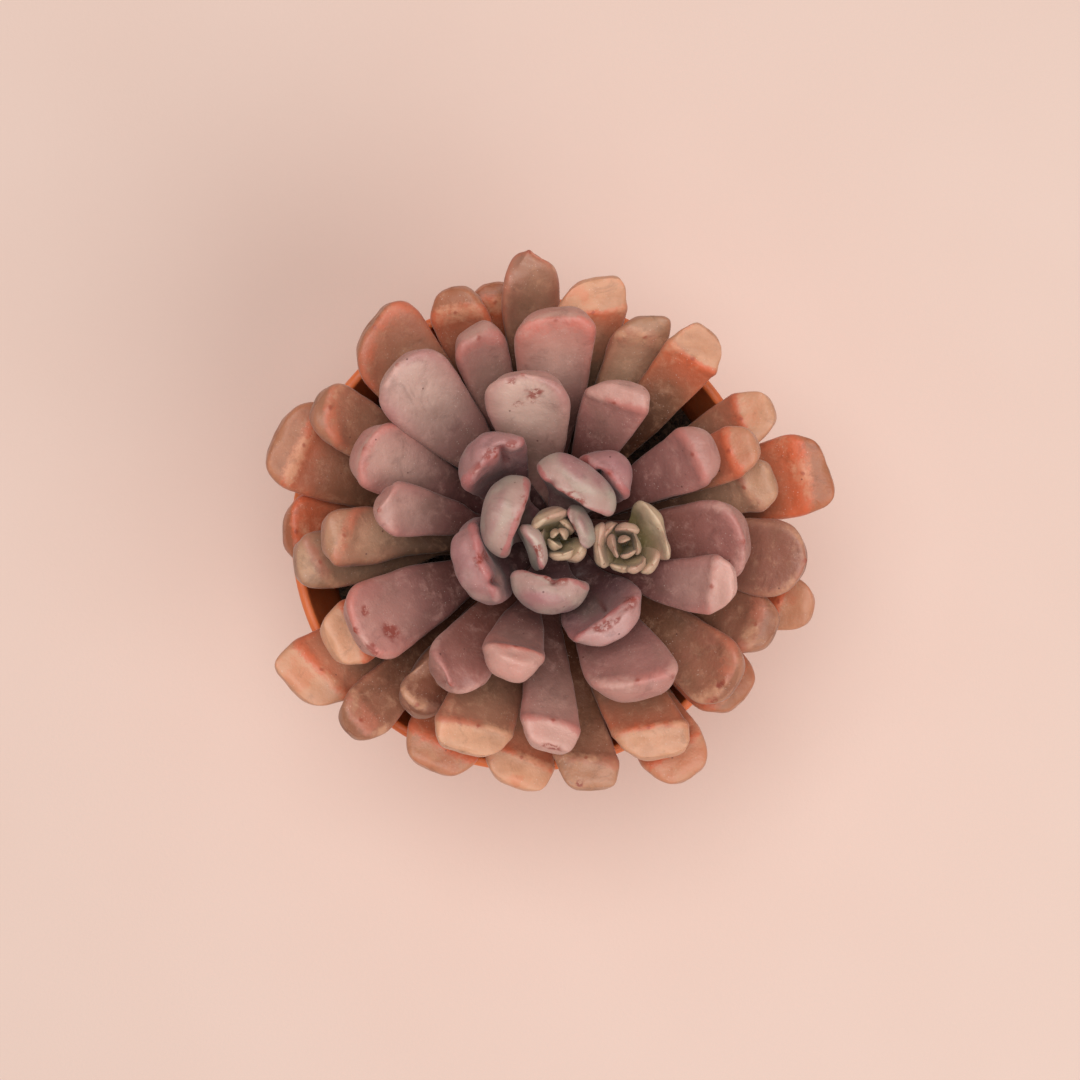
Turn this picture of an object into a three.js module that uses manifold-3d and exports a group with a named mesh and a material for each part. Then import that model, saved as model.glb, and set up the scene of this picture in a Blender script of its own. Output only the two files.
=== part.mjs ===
// Potted succulent: a thick-leaved rosette on a short leaning stem, with a small side rosette,
// in a round tapered pot. Millimetres, +Z up, origin at the centre of the pot's underside.
import * as THREE from 'three';
import { mergeVertices } from 'three/addons/utils/BufferGeometryUtils.js';
import Module from 'manifold-3d';

const wasm = await Module();
wasm.setup();

// ---- driving dimensions -------------------------------------------------------------------
const POT_HEIGHT = 90;
const RIM_RADIUS = 52.5;
const FOOT_RADIUS = 37.5;
const WALL = 1.8;
const FLOOR = 2.4;
const COLLAR_HEIGHT = 15;
const COLLAR_STEP = 1.5;
const RIM_ROUND = 0.9;
const POT_FACETS = 64;

const DRAIN_HOLES = 6;
const DRAIN_RADIUS = 4;
const DRAIN_RING = 22;
const DRAIN_FACETS = 16;

const SOIL_TOP = 71;
const SOIL_RELIEF = 1.3;
const SOIL_FACETS = 40;
const GAP = 0.3;

const CROWN = new THREE.Vector2(6, -0.5); // the rosette's axis leans off the pot's axis
const STEM_ROOT = SOIL_TOP - 16;
const STEM_TOP = POT_HEIGHT + 33;
const STEM_RADIUS = 5.6;
const STEM_TIP_RADIUS = 3.2;
const STEM_FACETS = 16;

const RING_AT = [0.03, 0.25, 0.48, 0.68, 0.83, 0.93, 0.982]; // where a leaf's sections lie, base to tip
const RING_POINTS = 10;
const NECK = 0.3; // width of a leaf's base, against its widest
const TOP_SHARE = 0.36; // of a leaf's thickness, what lies above its margins
const FULL_EDGE = 0.62; // under 1 rounds a leaf's margins out
const THIN_NECK = 0.4; // a leaf's thickness at its base, against its thickest
const THICK_AT = 0.8; // how far out it is thickest
const THICK_BLUNT = 2.8; // and how square its end is, seen from the side
const BELLY_MOST = 0.86; // a leaf is widest where its round end starts, within these limits
const BELLY_LEAST = 0.62;
const LIFT = 0.5; // one step up when a leaf touches those below it
const LIFT_STEPS = 60;
const ROLL_STEP = 1.5;
const ROLL_MOST = 16;
const SQUEEZE = 0.994; // and how much narrower it is for every step

// ---- colours ------------------------------------------------------------------------------
const TERRACOTTA = 0xb85328;
const SOIL_BROWN = 0x2e211b;
const STEM_BROWN = 0x6d5a42;
const OUTER_OLIVE = 0x98755a;
const MIDDLE_MAUVE = 0xa37a76;
const HEART_PINK = 0xc3a59f;
const BUD_GREEN = 0xa9a184;

// ---- leaves -------------------------------------------------------------------------------
// In the order they lie, lowest first. Azimuth (degrees) and reach give the tip about the crown;
// tip and base are heights over the rim; bow curls the leaf up, blunt squares its end (2 is an
// ellipse), sweep bends it sideways and cup folds its margins up.
// azimuth, reach, tip, base, width, thick, blunt, bow, sweep, cup
const OUTER_LEAVES = [
  [104, 57, 10, -9, 12, 7, 2.4],
  [179, 59, 9, -9, 15, 8, 2.6],
  [242, 58, 9, -9, 16, 8, 3],
  [261, 55.5, 9, -9, 16, 8, 3.4],
  [299.5, 60, 9, -9, 15, 8, 2.8],
  [319, 54, 9, -9, 16, 8, 2.8],
  [344, 58, 11, -9, 13, 8, 2.8],
  [14, 61, 11, -9, 18, 8, 3.8],
  [31, 55, 13, -8, 13, 8, 2.8],
  [95.5, 60, 17, -6, 13, 8, 1.8],
  [113, 57.5, 17, -5, 12.5, 8, 2.6],
  [160, 64, 17, -5, 19.5, 9, 3.2],
  [81, 56, 20, -4, 16, 9, 3.4],
  [66.5, 51, 16, -5, 12.5, 8, 3.2],
  [53, 54.5, 20, -3, 15.5, 9, 3.2],
  [210, 66, 15, -6, 16, 8, 4],
  [223, 61, 17, -4, 11.5, 8, 2.8],
  [278, 55, 17, -5, 13, 8, 4],
  [336, 51, 18, -5, 13.5, 8, 2.8],
  [15, 48, 22, -1, 11.5, 8, 3.4],
  [296, 53, 20, -2, 15.5, 9, 3.2],
  [186, 56, 17, -3, 12, 9, 3.6],
  [151, 58, 20, 0, 13, 9, 3],
  [131, 60, 21, -1, 19, 9, 3],
  [205.5, 54, 23, 0, 13.5, 9, 3.6],
  [230, 48, 22, 1, 11, 9, 2.6],
  [247, 50, 24, 2, 18, 9, 3.8],
  [354.5, 53, 22, 2, 16.5, 9, 2],
  [320, 49, 25, 3, 15.5, 9, 3],
  [25, 46.5, 26, 3, 12, 9, 2.8],
  [180, 49, 26, 4, 12, 9, 3.4],
  [112, 47, 26, 4, 11.5, 8, 3.2],
  [268, 45, 30, 7, 12.5, 9, 3.6],
  [90, 47, 31, 8, 16.5, 9, 3.2],
  [155.5, 44.5, 33, 9, 14, 9, 2.8],
  [133, 48, 34, 10, 17, 9, 2.8],
  [30, 36.5, 37, 13, 12.5, 9, 3],
  [359, 39, 36, 12, 17.5, 9, 2.6],
  [299, 37, 37, 13, 17.5, 9, 3.4],
  [205, 46, 34, 10, 16, 9, 3],
  [65.5, 34.5, 38, 14, 13.5, 8, 3.4],
  [170, 37, 37, 14, 10.5, 8, 2.2],
  [346, 38, 38, 20, 12.5, 7, 2.8, 0.06, -7],
  [102, 33, 42, 17, 17, 8, 2.8],
  [233, 37.5, 37, 14, 12.5, 9, 2.2],
  [250, 28, 46, 18, 12, 9, 2.4, 0.12],
];

const HEART_LEAVES = [
  [127, 22.5, 46, 25, 14.5, 7, 2.4, 0.16, 3, 0.2],
  [301, 22, 43, 25, 17, 6.5, 2.8, 0.14, 0, 0.1],
  [50, 17.5, 44, 26, 12, 6.5, 2.4, 0.18, 0, 0.2],
  [199, 17.5, 46, 27, 18, 8, 2.6, 0.18, 0, 0.15],
  [69, 9.6, 48, 29, 19, 7.5, 2.8, 0.2, 0, 0.1],
  [261, 9.8, 48, 29, 16, 7.5, 2.8, 0.2, 0, 0.2],
  [158, 9.8, 49, 30, 17, 7.5, 2.6, 0.2, 0, 0.2],
];

const INNER_LEAVES = [
  [205, 3.4, 46, 33, 10, 3.8, 2.4, 0.16, 0, 0.15],
  [24, 3.9, 46, 33, 9, 3.2, 2.4, 0.16, 0, 0.15],
];

// The crown's last small leaves, grown together at the stem's tip, and the side rosette's.
const BUD_LEAVES = [
  [112, 4.6, 46, 34, 7, 2.6, 2.6, 0.18, 0, 0.3],
  [290, 4.4, 43, 34, 7, 2.4, 2.2, 0.18, 0, 0.2],
  [150, 1.4, 43, 34, 3, 2.2, 1.8, 0.1, 0, 0.1],
];
const PUP_LEAVES = [
  [20, 7.6, 10, 0, 12, 2.6, 2.4, 0.22, 0, 0.4],
  [318, 7, 8, 0, 6, 2.2, 2.0, 0.2, 0, 0.3],
  [185, 4.8, 9, 0, 8, 2.4, 2.6, 0.22, 0, 0.4],
  [287, 5.6, 9, 0, 5.5, 2.2, 2.4, 0.2, 0, 0.3],
  [95, 4, 10, 0.5, 5, 2, 2.2, 0.2, 0, 0.3],
  [335, 3.6, 10.5, 1, 4.5, 1.6, 2.2, 0.2, 0, 0.3],
  [240, 2.6, 10.5, 1, 4, 1.6, 2.2, 0.2, 0, 0.3],
  [80, 1.2, 10.5, 1.5, 2.5, 1.6, 2, 0.16, 0, 0.2],
];
const PUP = new THREE.Vector3(20, -1.8, POT_HEIGHT + 33);

// ---- shape helpers ------------------------------------------------------------------------

// Skins a list of rings, base to tip, between two end points.
function loft(base, rings, tip) {
  const across = rings[0].length;
  const points = [base, ...rings.flat(), tip];
  const last = points.length - 1;
  const at = (ring, k) => 1 + ring * across + (k % across);
  const faces = [];
  for (let k = 0; k < across; k += 1) {
    faces.push(0, at(0, k + 1), at(0, k));
    faces.push(last, at(rings.length - 1, k), at(rings.length - 1, k + 1));
    for (let ring = 0; ring < rings.length - 1; ring += 1) {
      faces.push(at(ring, k), at(ring, k + 1), at(ring + 1, k + 1));
      faces.push(at(ring, k), at(ring + 1, k + 1), at(ring + 1, k));
    }
  }
  const geometry = new THREE.BufferGeometry().setFromPoints(points);
  geometry.setIndex(faces);
  return geometry;
}

function solidOf(geometry) {
  const bare = new THREE.BufferGeometry();
  bare.setAttribute('position', geometry.getAttribute('position'));
  bare.setIndex(geometry.index);
  const merged = mergeVertices(bare, 1e-4);
  const mesh = new wasm.Mesh({
    numProp: 3,
    vertProperties: new Float32Array(merged.attributes.position.array),
    triVerts: new Uint32Array(merged.index.array),
  });
  return new wasm.Manifold(mesh);
}

function geometryOf(solid) {
  const mesh = solid.getMesh();
  const geometry = new THREE.BufferGeometry();
  geometry.setAttribute('position', new THREE.BufferAttribute(mesh.vertProperties, 3));
  geometry.setIndex(new THREE.BufferAttribute(mesh.triVerts, 1));
  return geometry;
}

function nodeMesh(name, geometry, color, roughness) {
  const shaded = geometry.toNonIndexed();
  shaded.computeVertexNormals();
  const mesh = new THREE.Mesh(shaded, new THREE.MeshStandardMaterial({ color, roughness, metalness: 0 }));
  mesh.name = name;
  return mesh;
}

// ---- pot and soil -------------------------------------------------------------------------

// Outer radius of the pot's plain wall at a height.
function wallRadius(z) {
  const top = RIM_RADIUS - COLLAR_STEP;
  return FOOT_RADIUS + (top - FOOT_RADIUS) * (z / POT_HEIGHT);
}

function potGeometry() {
  const collar = POT_HEIGHT - COLLAR_HEIGHT;
  const outline = [
    [0, 0],
    [FOOT_RADIUS - 1, 0],
    [FOOT_RADIUS, 1],
    [wallRadius(collar) - 0.2, collar],
    [wallRadius(collar) + COLLAR_STEP, collar + 0.6],
    [RIM_RADIUS - 0.2, POT_HEIGHT - RIM_ROUND * 2],
    [RIM_RADIUS, POT_HEIGHT - RIM_ROUND],
    [RIM_RADIUS - RIM_ROUND, POT_HEIGHT],
    [RIM_RADIUS - WALL - 0.4, POT_HEIGHT - 0.3],
    [RIM_RADIUS - WALL - COLLAR_STEP * 0.6, POT_HEIGHT - 3],
    [wallRadius(collar) - WALL, collar - 1],
    [wallRadius(FLOOR + 2) - WALL, FLOOR + 2],
    [wallRadius(FLOOR) - WALL - 2, FLOOR],
    [0, FLOOR],
  ].map(([r, z]) => new THREE.Vector2(r, z));
  const wall = new THREE.LatheGeometry(outline, POT_FACETS).rotateX(Math.PI / 2);
  let pot = solidOf(wall);
  for (let k = 0; k < DRAIN_HOLES; k += 1) {
    const turn = (2 * Math.PI * k) / DRAIN_HOLES;
    const hole = new THREE.CylinderGeometry(DRAIN_RADIUS, DRAIN_RADIUS, 4 * FLOOR, DRAIN_FACETS);
    hole.rotateX(Math.PI / 2);
    hole.translate(DRAIN_RING * Math.cos(turn), DRAIN_RING * Math.sin(turn), FLOOR / 2);
    pot = pot.subtract(solidOf(hole));
  }
  return geometryOf(pot);
}

// The soil's surface: low mounds, a little higher round the stem.
function soilHeight(x, y) {
  const mounds = Math.sin(x * 0.21 + 1) * Math.cos(y * 0.17) + Math.sin(x * 0.4 + y * 0.33) * 0.5;
  return SOIL_TOP + SOIL_RELIEF * mounds + 2 * Math.exp(-(x * x + y * y) / 300);
}

function soilGeometry(stem) {
  const edge = (z) => wallRadius(z) - WALL - 2 * GAP;
  const outline = [
    [0, FLOOR + GAP],
    [edge(FLOOR) - 3, FLOOR + GAP],
    [edge(FLOOR + 5), FLOOR + 5],
    [edge(SOIL_TOP) - 0.2, SOIL_TOP - 4],
    [edge(SOIL_TOP) - 0.6, SOIL_TOP],
    [36, SOIL_TOP],
    [26, SOIL_TOP],
    [16, SOIL_TOP],
    [8, SOIL_TOP],
    [0, SOIL_TOP],
  ].map(([r, z]) => new THREE.Vector2(r, z));
  const geometry = new THREE.LatheGeometry(outline, SOIL_FACETS).rotateX(Math.PI / 2);
  const position = geometry.getAttribute('position');
  for (let i = 0; i < position.count; i += 1) {
    if (position.getZ(i) > SOIL_TOP - 1) {
      position.setZ(i, soilHeight(position.getX(i), position.getY(i)));
    }
  }
  return geometryOf(solidOf(geometry).subtract(stem));
}

// ---- stem ---------------------------------------------------------------------------------

function stemCentre(z) {
  const share = THREE.MathUtils.smoothstep(z, SOIL_TOP - 6, STEM_TOP);
  return new THREE.Vector2(CROWN.x * share, CROWN.y * share);
}

function stemRadius(z) {
  return THREE.MathUtils.mapLinear(z, STEM_ROOT, STEM_TOP, STEM_RADIUS, STEM_TIP_RADIUS);
}

function stemGeometry(extra = 0) {
  const levels = 9;
  const rings = [];
  for (let i = 0; i < levels; i += 1) {
    const z = THREE.MathUtils.lerp(STEM_ROOT - extra, STEM_TOP - 1 + extra, i / (levels - 1));
    const centre = stemCentre(z);
    const ring = [];
    for (let k = 0; k < STEM_FACETS; k += 1) {
      const turn = (2 * Math.PI * k) / STEM_FACETS;
      const r = stemRadius(z) + extra;
      ring.push(new THREE.Vector3(centre.x + r * Math.cos(turn), centre.y + r * Math.sin(turn), z));
    }
    rings.push(ring);
  }
  const foot = new THREE.Vector3(0, 0, STEM_ROOT - 2 - extra);
  const top = new THREE.Vector3(CROWN.x, CROWN.y, STEM_TOP + extra);
  return loft(foot, rings, top);
}

// ---- leaf ---------------------------------------------------------------------------------

function readLeaf(row, rimHeight) {
  const [azimuth, reach, tip, base, width, thick, blunt, bow = 0.06, sweep = 0, cup = 0.1] = row;
  return {
    azimuth: THREE.MathUtils.degToRad(azimuth),
    reach,
    tip: rimHeight + tip,
    base: rimHeight + base,
    width,
    thick,
    blunt,
    bow,
    sweep,
    cup,
    roll: 0,
  };
}

// How full a leaf is along its length: a wedge from the neck to the belly, then a rounded end.
function fullness(t, neck, belly, blunt) {
  if (t < belly) {
    return neck + (1 - neck) * Math.sin((Math.PI / 2) * (t / belly)) ** 2;
  }
  const past = (t - belly) / (1 - belly);
  return (1 - past ** blunt) ** (1 / blunt);
}

// A leaf's middle line: out of its stem, sagging below the chord by its bow, up to the tip.
function leafSpine(leaf, root) {
  const out = new THREE.Vector3(Math.cos(leaf.azimuth), Math.sin(leaf.azimuth), 0);
  const side = new THREE.Vector3(-out.y, out.x, 0);
  const tip = new THREE.Vector3(root.axis.x, root.axis.y, leaf.tip).addScaledVector(out, leaf.reach);
  const centre = root.centre(leaf.base);
  const away = new THREE.Vector2(tip.x - centre.x, tip.y - centre.y).normalize();
  const start = root.radius(leaf.base);
  const base = new THREE.Vector3(centre.x + away.x * start, centre.y + away.y * start, leaf.base);
  const chord = tip.clone().sub(base);
  const under = chord.clone().cross(side).normalize().negate();
  const control = base.clone().addScaledVector(chord, 0.5);
  control.addScaledVector(under, leaf.bow * 2 * chord.length());
  control.addScaledVector(side, leaf.sweep);
  return new THREE.QuadraticBezierCurve3(base, control, tip);
}

// One thick spoon of a leaf; extra swells it on every side, to keep a gap to its neighbours.
function leafGeometry(leaf, root, extra = 0) {
  const spine = leafSpine(leaf, root);
  const level = new THREE.Vector3(spine.v0.y - spine.v2.y, spine.v2.x - spine.v0.x, 0).normalize();
  const roundEnd = leaf.width / 2 / spine.v0.distanceTo(spine.v2);
  const belly = THREE.MathUtils.clamp(1 - roundEnd, BELLY_LEAST, BELLY_MOST);
  const rings = RING_AT.map((t) => {
    const centre = spine.getPoint(t);
    const along = spine.getTangent(t);
    const flat = level.clone().addScaledVector(along, -level.dot(along)).normalize();
    const roll = THREE.MathUtils.degToRad(leaf.roll) * Math.min(1, 2 * t);
    const side = flat.clone().applyAxisAngle(along, roll);
    const normal = along.clone().cross(side);
    const half = (leaf.width / 2) * fullness(t, NECK, belly, leaf.blunt) + extra;
    const deep = leaf.thick * fullness(t, THIN_NECK, THICK_AT, THICK_BLUNT) + 2 * extra;
    const ring = [];
    for (let k = 0; k < RING_POINTS; k += 1) {
      const turn = (2 * Math.PI * k) / RING_POINTS;
      const across = half * Math.cos(turn);
      const share = Math.sin(turn) > 0 ? TOP_SHARE : TOP_SHARE - 1;
      const up = deep * share * Math.abs(Math.sin(turn)) ** FULL_EDGE;
      const cup = leaf.cup * (across * across) / half;
      ring.push(centre.clone().addScaledVector(side, across).addScaledVector(normal, up + cup));
    }
    return ring;
  });
  const base = spine.getPoint(0);
  const tip = spine.getPoint(1).addScaledVector(spine.getTangent(1), extra);
  return loft(base, rings, tip);
}

function touches(box, other) {
  return [0, 1, 2].every((i) => box.min[i] < other.max[i] && box.max[i] > other.min[i]);
}

// Raises a leaf in small steps, at the end that is touched, until it lies clear of the others.
function settle(leaf, root, others) {
  for (let step = 0; step < LIFT_STEPS; step += 1) {
    const solid = solidOf(leafGeometry(leaf, root, GAP));
    const box = solid.boundingBox();
    const hits = others.filter((other) => touches(box, other.boundingBox()))
      .map((other) => solid.intersect(other))
      .filter((hit) => hit.volume() > 0);
    if (hits.length === 0) {
      return;
    }
    const spine = leafSpine(leaf, root);
    const chord = spine.v2.clone().sub(spine.v0);
    const side = new THREE.Vector3(-chord.y, chord.x, 0).normalize();
    hits.forEach((hit) => {
      const { min, max } = hit.boundingBox();
      const touch = new THREE.Vector3(...min).add(new THREE.Vector3(...max)).multiplyScalar(0.5);
      touch.sub(spine.v0);
      const share = THREE.MathUtils.clamp(touch.dot(chord) / chord.lengthSq(), 0, 1);
      leaf.tip += (LIFT * share) / hits.length;
      leaf.base += (LIFT * (1 - share)) / hits.length;
      const roll = leaf.roll + (Math.sign(touch.dot(side)) * ROLL_STEP) / hits.length;
      leaf.roll = THREE.MathUtils.clamp(roll, -ROLL_MOST, ROLL_MOST);
    });
    leaf.width *= SQUEEZE;
    leaf.thick *= SQUEEZE;
  }
}

// ---- assembly -----------------------------------------------------------------------------

const CROWN_ROOT = {
  axis: CROWN,
  centre: stemCentre,
  radius: (z) => stemRadius(z) + 2 * GAP,
};
const BUD_ROOT = { axis: CROWN, centre: () => CROWN, radius: () => -1 };
const PUP_AXIS = new THREE.Vector2(PUP.x, PUP.y);
const PUP_ROOT = { axis: PUP_AXIS, centre: () => PUP_AXIS, radius: () => -1 };

const group = new THREE.Group();
const pot = potGeometry();
const stem = stemGeometry();
const placed = [solidOf(pot), solidOf(stem)];

group.add(nodeMesh('pot', pot, TERRACOTTA, 0.5));
group.add(nodeMesh('soil', soilGeometry(solidOf(stemGeometry(GAP))), SOIL_BROWN, 0.95));
group.add(nodeMesh('stem', stem, STEM_BROWN, 0.85));

function addLeaves(rows, prefix, colour) {
  rows.forEach((row, i) => {
    const leaf = readLeaf(row, POT_HEIGHT);
    settle(leaf, CROWN_ROOT, placed);
    const geometry = leafGeometry(leaf, CROWN_ROOT);
    placed.push(solidOf(geometry));
    const name = `${prefix}_${String(i + 1).padStart(2, '0')}`;
    group.add(nodeMesh(name, geometry, colour(leaf), 0.6));
  });
}

// A tuft of small leaves that grow together at one point, as one solid.
function tuftSolid(rows, root, height) {
  const leaves = rows.map((row) => solidOf(leafGeometry(readLeaf(row, height), root)));
  return leaves.reduce((joined, leaf) => joined.add(leaf));
}

addLeaves(OUTER_LEAVES, 'leaf', (leaf) => (leaf.tip < POT_HEIGHT + 24 ? OUTER_OLIVE : MIDDLE_MAUVE));
addLeaves(HEART_LEAVES, 'heart_leaf', () => HEART_PINK);
addLeaves(INNER_LEAVES, 'inner_leaf', () => HEART_PINK);

group.add(nodeMesh('heart_bud', geometryOf(tuftSolid(BUD_LEAVES, BUD_ROOT, POT_HEIGHT)), BUD_GREEN, 0.6));
group.add(nodeMesh('side_rosette', geometryOf(tuftSolid(PUP_LEAVES, PUP_ROOT, PUP.z)), HEART_PINK, 0.6));

export default group;
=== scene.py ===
"""The looks of the potted succulent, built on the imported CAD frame. Metres, +Z up."""

import math
import random

import bmesh
import bpy
import numpy as np
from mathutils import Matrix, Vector, noise


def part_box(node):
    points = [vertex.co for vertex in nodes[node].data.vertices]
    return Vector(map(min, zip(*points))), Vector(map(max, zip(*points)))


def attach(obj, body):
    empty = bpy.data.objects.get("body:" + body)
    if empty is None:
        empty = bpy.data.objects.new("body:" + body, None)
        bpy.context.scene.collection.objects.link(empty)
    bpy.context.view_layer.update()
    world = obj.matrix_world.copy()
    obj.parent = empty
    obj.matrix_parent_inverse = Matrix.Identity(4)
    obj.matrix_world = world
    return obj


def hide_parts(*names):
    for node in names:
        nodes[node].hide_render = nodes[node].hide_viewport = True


MM = 0.001
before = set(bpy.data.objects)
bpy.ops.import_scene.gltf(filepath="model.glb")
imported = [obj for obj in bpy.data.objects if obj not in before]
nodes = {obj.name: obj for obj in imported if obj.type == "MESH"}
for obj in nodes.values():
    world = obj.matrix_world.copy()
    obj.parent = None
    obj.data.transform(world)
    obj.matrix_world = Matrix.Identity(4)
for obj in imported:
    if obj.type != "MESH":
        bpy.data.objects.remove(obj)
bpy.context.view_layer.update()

# ---- leaf surfaces ------------------------------------------------------------------------
RING_POINTS = 10               # round each of a leaf's CAD sections
OPPOSITE = RING_POINTS // 2    # from a point to the one across its section
AROUND = 64                    # points round the fine surface
ROWS_PER_GAP = (3, 4, 5, 5, 6, 8, 8, 9)   # fine rows between one CAD section and the next
FULL_LENGTH = 30 * MM          # shorter leaves have smaller details
RIDGE_HEIGHT = 0.6 * MM        # the ridge that crosses a leaf's blunt end
RIDGE_WIDTH = 0.9 * MM
HOLLOW = 0.5 * MM              # of the top face
END_HOLLOW = 0.35 * MM         # of the end face, below the ridge
END_BEVEL = 0.2                # how much the end face leans back
BEVEL_REACH = 5 * MM
SWELLS = 0.45 * MM
SWELL_SIZE = 10 * MM
RIPPLE_SIZE = 3 * MM
POINT_LENGTH = 0.6 * MM        # the little point in the middle of the ridge
POINT_WIDTH = 0.9 * MM
POINT_LEAN = 0.6               # upwards
SCAR_DEPTH = 0.12 * MM
SCAR_SIZES = (0.7, 2.2)        # millimetres
TILT = 0.35                    # the most that a ridge slopes to one side
NOISE_STEPS = (7.13, 3.71, 5.37)   # between the swells of one seed and the next
# where these set in, as shares of a leaf's length from its base
LINE_LIFTS = (0.7, 0.9)
RIDGE_STARTS = (0.6, 0.88)
END_STARTS = (0.78, 0.9)
POINT_STARTS = (0.6, 0.85)
CLIMB_FROM = 0.84
CLIMB = 0.6                    # of the ridge's line beyond that
FACE_FROM = (0.35, 0.85)       # how far up the ridge lies before an end has a pale face, partly its own colour and partly a painted highlight


def smooth(x, low, high):
    """0 below low, 1 above high, and an even curve between."""
    t = np.clip((np.asarray(x) - low) / (high - low), 0, 1)
    return t * t * (3 - 2 * t)


def cad_grid(node):
    """A CAD leaf as (base point, sections x RING_POINTS x 3, tip point), base to tip.

    Each section starts at its left margin, seen from the base, and goes over the top face."""
    mesh = node.data
    keys, places, index = {}, [], []
    for v in mesh.vertices:
        key = tuple(round(c, 6) for c in v.co)
        if key not in keys:
            keys[key] = len(places)
            places.append(np.array(v.co))
        index.append(keys[key])
    near = [set() for _ in places]
    for e in mesh.edges:
        a, b = (index[i] for i in e.vertices)
        if a != b:
            near[a].add(b)
            near[b].add(a)
    poles = [i for i, n in enumerate(near) if len(n) == RING_POINTS]
    base, tip = sorted(poles, key=lambda i: places[i][2])
    ring, seen, rings = near[base], {base}, []
    while tip not in ring:
        rings.append(sorted(ring))
        seen |= ring
        ring = set().union(*(near[i] for i in ring)) - seen
    chord = places[tip] - places[base]
    left = np.array((-chord[1], chord[0], 0.0))
    left /= np.linalg.norm(left)
    middles = [places[base], *(np.mean([places[i] for i in r], 0) for r in rings), places[tip]]
    grid = []
    for k, members in enumerate(rings):
        along = middles[k + 2] - middles[k]
        order = walk(members, near)
        pairs = [np.linalg.norm(places[order[i]] - places[order[i - OPPOSITE]]) for i in range(RING_POINTS)]
        start = int(np.argmax(pairs))
        across = places[order[start]] - places[order[start - OPPOSITE]]
        if across @ left < 0:
            start = (start + OPPOSITE) % RING_POINTS
            across = -across
        order = order[start:] + order[:start]
        top = np.cross(along, across)
        # the middle two of the first side's points, less the two across from them
        over = places[order[2]] + places[order[3]] - places[order[7]] - places[order[8]]
        if over @ top < 0:
            order = order[:1] + order[:0:-1]
        grid.append([places[i] for i in order])
    return places[base], np.array(grid), places[tip]


def walk(members, near):
    """The members of one section in the order they join up."""
    order, left = [members[0]], set(members[1:])
    while left:
        step = sorted(near[order[-1]] & left)
        order.append(step[0])
        left.discard(step[0])
    return order


def closed_spline(points, knots, at):
    """A smooth closed curve through points (n x 3) at knots (n + 1 values), read at the given values."""
    n = len(points)
    gap = np.diff(knots)
    before = np.roll(gap, 1)
    slope = (np.roll(points, -1, 0) - points) / gap[:, None]
    system = np.zeros((n, n))
    for i in range(n):
        system[i, i] += 2 * (before[i] + gap[i])
        system[i, i - 1] += before[i]
        system[i, (i + 1) % n] += gap[i]
    bend = np.linalg.solve(system, 6 * (slope - np.roll(slope, 1, 0)))
    i = np.clip(np.searchsorted(knots, at, side="right") - 1, 0, n - 1)
    h, j = gap[i][:, None], (i + 1) % n
    b = (np.asarray(at) - knots[i])[:, None] / h
    a = 1 - b
    curve = ((a**3 - a) * bend[i] + (b**3 - b) * bend[j]) * h**2 / 6
    return a * points[i] + b * points[j] + curve


def fine_grid(base, sections, tip):
    """The leaf's surface as rows x AROUND x 3, from base to tip, smooth through every CAD point."""
    turns = np.arange(RING_POINTS + 1.0)
    spots = np.arange(AROUND) * RING_POINTS / AROUND
    rings = np.array([closed_spline(s, turns, spots) for s in sections])
    steps = []
    for k, rows in enumerate(ROWS_PER_GAP):
        share = np.arange(rows) / rows
        if k == len(ROWS_PER_GAP) - 1:
            # the last rows crowd towards the rounded tip
            share = np.sin(share * math.pi / 2) ** 0.9
        steps.extend(k + share)
    steps = np.array(steps[1:])
    fine = np.zeros((len(steps), AROUND, 3))
    half = AROUND // 2
    for j in range(half):
        loop = np.array([base, *rings[:, j], tip, *rings[::-1, j + half]])
        gaps = np.linalg.norm(np.roll(loop, -1, 0) - loop, axis=1)
        knots = np.concatenate(([0.0], np.cumsum(gaps)))
        index = np.arange(len(knots))
        fine[:, j] = closed_spline(loop, knots, np.interp(steps, index, knots))
        mirrored = len(loop) - steps
        fine[:, j + half] = closed_spline(loop, knots, np.interp(mirrored, index, knots))
    return fine


def leaf_masks(fine, base, tip, look, size):
    """Where each point of a fine leaf lies.

    along: its share of the length. off: how far above the ridge's line, in metres. side: -1 to 1,
    from margin to margin. span, end, top, edge and ridge are 0 to 1: the stretch that the ridge
    crosses, the end face below it, the top face, the margins, and the ridge."""
    width = RIDGE_WIDTH * size
    quarter = AROUND // 4
    middle = (fine[:, 0] + fine[:, 2 * quarter]) / 2
    length = np.linalg.norm(np.diff(np.vstack([base, middle, tip]), axis=0), axis=1)
    along = (np.cumsum(length)[:-1] / length.sum())[:, None] * np.ones(AROUND)
    half = np.linalg.norm(fine[:, 0] - fine[:, 2 * quarter], axis=1)[:, None] / 2
    above = np.linalg.norm(fine[:, quarter] - middle, axis=1)[:, None]
    below = np.linalg.norm(fine[:, 3 * quarter] - middle, axis=1)[:, None]
    turn = 2 * math.pi * np.arange(AROUND) / AROUND
    up = np.where(np.sin(turn) > 0, above, below) * np.sin(turn)
    side = half * np.cos(turn) / half.max()
    line = above.max() * (look["end_up"] * (1 - side**2) + look["tilt"] * side) * smooth(along, *LINE_LIFTS)
    past = np.maximum(0, along - CLIMB_FROM) * length.sum()
    line = line + CLIMB * max(0, look["end_up"]) * past
    off = up - line
    span = smooth(along, *RIDGE_STARTS)
    end = smooth(-off, -0.3 * width, 0.6 * width) * smooth(along, *END_STARTS)
    top = smooth(up, -0.4 * MM, 0.6 * MM)
    edge = smooth(np.abs(np.cos(turn)) * np.ones_like(along), 0.75, 1.0)
    return {
        "along": along, "off": off, "span": span, "end": end, "top": top, "side": side, "edge": edge,
        "ridge": np.exp(-((off / width) ** 2)) * span,
    }


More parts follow.
